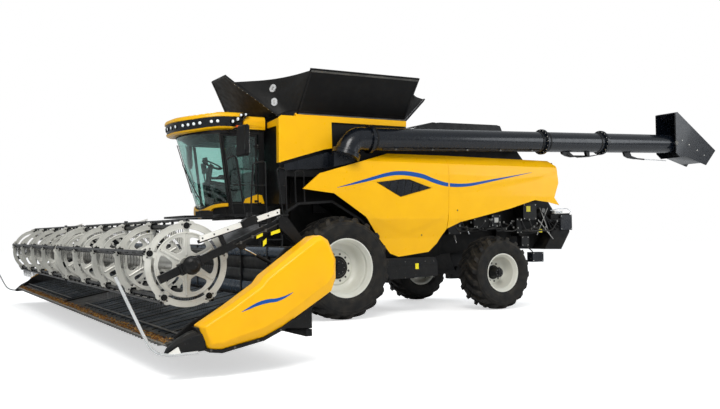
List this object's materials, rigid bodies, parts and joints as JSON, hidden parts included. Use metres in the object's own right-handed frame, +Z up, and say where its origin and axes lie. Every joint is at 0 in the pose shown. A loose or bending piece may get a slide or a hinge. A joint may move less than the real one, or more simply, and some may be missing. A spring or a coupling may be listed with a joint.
{
  "type": "combine harvester",
  "caption": "Combine harvester with a wide draper header and reel, raised grain tank covers and an unloading auger folded back along its left side.",
  "frame": {"origin": "on the ground, under the middle of the machine's length and width", "axes": "+X forwards, the way the machine drives; +Y to its left; +Z up"},
  "size_m": [16.4295, 14, 4.9693],
  "materials": {
    "body_yellow": "gloss paint, lightly dusty",
    "auger_black": "gloss paint, lightly dusty",
    "frame_black": "satin black paint",
    "engine_grey": "painted casting",
    "cover_black": "satin black sheet, dusty",
    "cloth_black": "coated cloth",
    "shield_yellow": "moulded, glossy",
    "rim_white": "off-white paint",
    "tyre_rubber": "dusty rubber",
    "glass_tint": "tinted glass",
    "rod_chrome": "ground and plated",
    "reel_silver": "plain steel, worn",
    "bat_black": "satin black",
    "belt_rubber": "ribbed belt",
    "divider_white": "white paint",
    "lamp_clear": "lamp lens",
    "seat_grey": "woven seat cloth"
  },
  "bodies": {
    "chassis": {"front_axle": "frame_black", "rear_axle": "frame_black", "separator_body": "frame_black", "engine_block": "engine_grey", "grain_tank": "frame_black", "tank_cladding": "body_yellow", "engine_hood": "frame_black", "rear_hood": "frame_black", "residue_spreaders": "frame_black", "panel_frame": "frame_black", "wheel_guards": "frame_black", "cab_frame": "frame_black", "cab_roof": "body_yellow", "roof_lamps": "lamp_clear", "cab_glass": "glass_tint", "cab_interior": "seat_grey", "access_platform": "frame_black", "corner_cloths": "cloth_black", "auger_turret": "auger_black", "feeder_mounts": "frame_black"},
    "front_wheel_left": {"front_tyre_left": "tyre_rubber", "front_rim_left": "rim_white"},
    "front_wheel_right": {"front_tyre_right": "tyre_rubber", "front_rim_right": "rim_white"},
    "knuckle_left": {"rear_knuckle_left": "frame_black"},
    "knuckle_right": {"rear_knuckle_right": "frame_black"},
    "rear_wheel_left": {"rear_tyre_left": "tyre_rubber", "rear_rim_left": "rim_white"},
    "rear_wheel_right": {"rear_tyre_right": "tyre_rubber", "rear_rim_right": "rim_white"},
    "steering_rod": {"steering_rod": "rod_chrome"},
    "cab_door": {"cab_door": "frame_black", "door_glass": "glass_tint"},
    "front_panel_left": {"front_panel_left": "body_yellow"},
    "front_panel_right": {"front_panel_right": "body_yellow"},
    "rear_panel_left": {"rear_panel_left": "body_yellow"},
    "rear_panel_right": {"rear_panel_right": "body_yellow"},
    "left_cover": {"left_cover": "cover_black"},
    "right_cover": {"right_cover": "cover_black"},
    "front_cover": {"front_cover": "cover_black"},
    "rear_cover": {"rear_cover": "cover_black"},
    "auger": {"auger_tube": "auger_black"},
    "auger_end": {"auger_end_tube": "auger_black"},
    "spout": {"auger_spout": "auger_black"},
    "header": {"feeder_house": "frame_black", "header_frame": "frame_black", "draper_belts": "belt_rubber", "cutterbar": "reel_silver", "end_shields": "shield_yellow", "dividers": "divider_white"},
    "lift_barrels": {"lift_barrels": "frame_black"},
    "lift_rods": {"lift_rods": "rod_chrome"},
    "reel_arms": {"reel_arms": "frame_black"},
    "reel_carriers": {"reel_carriers": "frame_black"},
    "reel": {"reel_spider": "reel_silver", "reel_bats": "bat_black"},
    "reel_barrels": {"reel_barrels": "frame_black"},
    "reel_rods": {"reel_rods": "rod_chrome"}
  },
  "joints": [
    {"name": "front_wheel_left_spin", "type": "hinge", "parent": "chassis", "child": "front_wheel_left", "pos_m": [2.575, 1.625, 1.03], "axis": [0, 1, 0], "continuous": true},
    {"name": "front_wheel_right_spin", "type": "hinge", "parent": "chassis", "child": "front_wheel_right", "pos_m": [2.575, -1.625, 1.03], "axis": [0, 1, 0], "continuous": true},
    {"name": "steer_left", "type": "hinge", "parent": "chassis", "child": "knuckle_left", "pos_m": [-1.325, 1.12, 0.81], "axis": [0, 0, 1], "range_deg": [-35, 35]},
    {"name": "steer_right", "type": "hinge", "parent": "chassis", "child": "knuckle_right", "pos_m": [-1.325, -1.12, 0.81], "axis": [0, 0, 1], "range_deg": [-35.01, 35.01]},
    {"name": "rear_wheel_left_spin", "type": "hinge", "parent": "knuckle_left", "child": "rear_wheel_left", "pos_m": [-1.325, 1.63, 0.81], "axis": [0, 1, 0], "continuous": true},
    {"name": "rear_wheel_right_spin", "type": "hinge", "parent": "knuckle_right", "child": "rear_wheel_right", "pos_m": [-1.325, -1.63, 0.81], "axis": [0, 1, 0], "continuous": true},
    {"name": "steering_rod_slide", "type": "slide", "parent": "chassis", "child": "steering_rod", "axis": [0, 1, 0], "range_m": [-0.14, 0.14]},
    {"name": "cab_door_hinge", "type": "hinge", "parent": "chassis", "child": "cab_door", "pos_m": [4.019, 0.966, 2.9], "axis": [0, 0, 1], "range_deg": [0, 80]},
    {"name": "front_panel_left_hinge", "type": "hinge", "parent": "chassis", "child": "front_panel_left", "pos_m": [-0.015, 1.815, 2.6], "axis": [0, 0, 1], "range_deg": [0, 80]},
    {"name": "front_panel_right_hinge", "type": "hinge", "parent": "chassis", "child": "front_panel_right", "pos_m": [-0.015, -1.815, 2.6], "axis": [0, 0, -1], "range_deg": [0, 80]},
    {"name": "rear_panel_left_hinge", "type": "hinge", "parent": "chassis", "child": "rear_panel_left", "pos_m": [-1.325, 1.59, 3.35], "axis": [1, 0, 0], "range_deg": [0, 48]},
    {"name": "rear_panel_right_hinge", "type": "hinge", "parent": "chassis", "child": "rear_panel_right", "pos_m": [-1.325, -1.59, 3.35], "axis": [-1, 0, 0], "range_deg": [0, 48]},
    {"name": "left_cover_hinge", "type": "hinge", "parent": "chassis", "child": "left_cover", "pos_m": [2.175, 1.45, 4.09918], "axis": [1, 0, 0], "range_deg": [0, 129], "deforming": ["corner_cloths"]},
    {"name": "right_cover_hinge", "type": "hinge", "parent": "chassis", "child": "right_cover", "pos_m": [2.175, -1.45, 4.09918], "axis": [-1, 0, 0], "range_deg": [0, 129.01]},
    {"name": "front_cover_hinge", "type": "hinge", "parent": "chassis", "child": "front_cover", "pos_m": [3.645, 0, 4.04037], "axis": [0, -1, 0], "range_deg": [0, 132], "deforming": ["corner_cloths"]},
    {"name": "rear_cover_hinge", "type": "hinge", "parent": "chassis", "child": "rear_cover", "pos_m": [0.875, 0, 4.04151], "axis": [0, 1, 0], "range_deg": [0, 135.01]},
    {"name": "auger_swing", "type": "hinge", "parent": "chassis", "child": "auger", "pos_m": [2.455, 1.79, 3.31], "axis": [0.342, 0, -0.9397], "range_deg": [0, 100]},
    {"name": "auger_fold", "type": "hinge", "parent": "auger", "child": "auger_end", "pos_m": [-4.465, 1.45, 3.8114], "axis": [0.03, 0, 0.9995], "range_deg": [0, 95]},
    {"name": "spout_tilt", "type": "hinge", "parent": "auger_end", "child": "spout", "pos_m": [-6.755, 1.79, 3.88017], "axis": [0, 1, 0], "range_deg": [-25, 20]},
    {"name": "feeder_lift", "type": "hinge", "parent": "chassis", "child": "header", "pos_m": [3.525, 0, 1.62], "axis": [0, -1, 0], "range_deg": [-4, 13]},
    {"name": "lift_barrel_swing", "type": "hinge", "parent": "chassis", "child": "lift_barrels", "pos_m": [2.895, 0, 0.86], "axis": [0, -1, 0], "range_deg": [-3.83, 10.21]},
    {"name": "lift_rod_slide", "type": "slide", "parent": "lift_barrels", "child": "lift_rods", "axis": [0.9956, 0, -0.0942], "range_m": [-0.0596, 0.1824]},
    {"name": "reel_lift", "type": "hinge", "parent": "header", "child": "reel_arms", "pos_m": [5.955, 0, 1.88], "axis": [0, -1, 0], "range_deg": [-4, 25]},
    {"name": "reel_barrel_swing", "type": "hinge", "parent": "header", "child": "reel_barrels", "pos_m": [6.075, 0, 1.33], "axis": [0, -1, 0], "range_deg": [-3.48, 16.51]},
    {"name": "reel_rod_slide", "type": "slide", "parent": "reel_barrels", "child": "reel_rods", "axis": [0.8821, 0, 0.471], "range_m": [-0.0393, 0.2296]},
    {"name": "reel_slide", "type": "slide", "parent": "reel_arms", "child": "reel_carriers", "axis": [0.9172, 0, -0.3985], "range_m": [-0.25, 0.15]},
    {"name": "reel_spin", "type": "hinge", "parent": "reel_carriers", "child": "reel", "pos_m": [7.175, 0, 1.35], "axis": [0, 1, 0], "continuous": true}
  ],
  "couplings": [
    {"joint": "steer_right", "follows": "steer_left", "ratio": 1},
    {"joint": "steering_rod_slide", "follows": "steer_left", "m_per_rad": -0.22535},
    {"joint": "right_cover_hinge", "follows": "left_cover_hinge", "ratio": 1},
    {"joint": "rear_cover_hinge", "follows": "front_cover_hinge", "ratio": 1.0227},
    {"joint": "lift_barrel_swing", "follows": "feeder_lift", "ratio": 0.70825},
    {"joint": "lift_rod_slide", "follows": "feeder_lift", "m_per_rad": 0.78173},
    {"joint": "reel_barrel_swing", "follows": "reel_lift", "ratio": 0.62031},
    {"joint": "reel_rod_slide", "follows": "reel_lift", "m_per_rad": 0.51939}
  ]
}
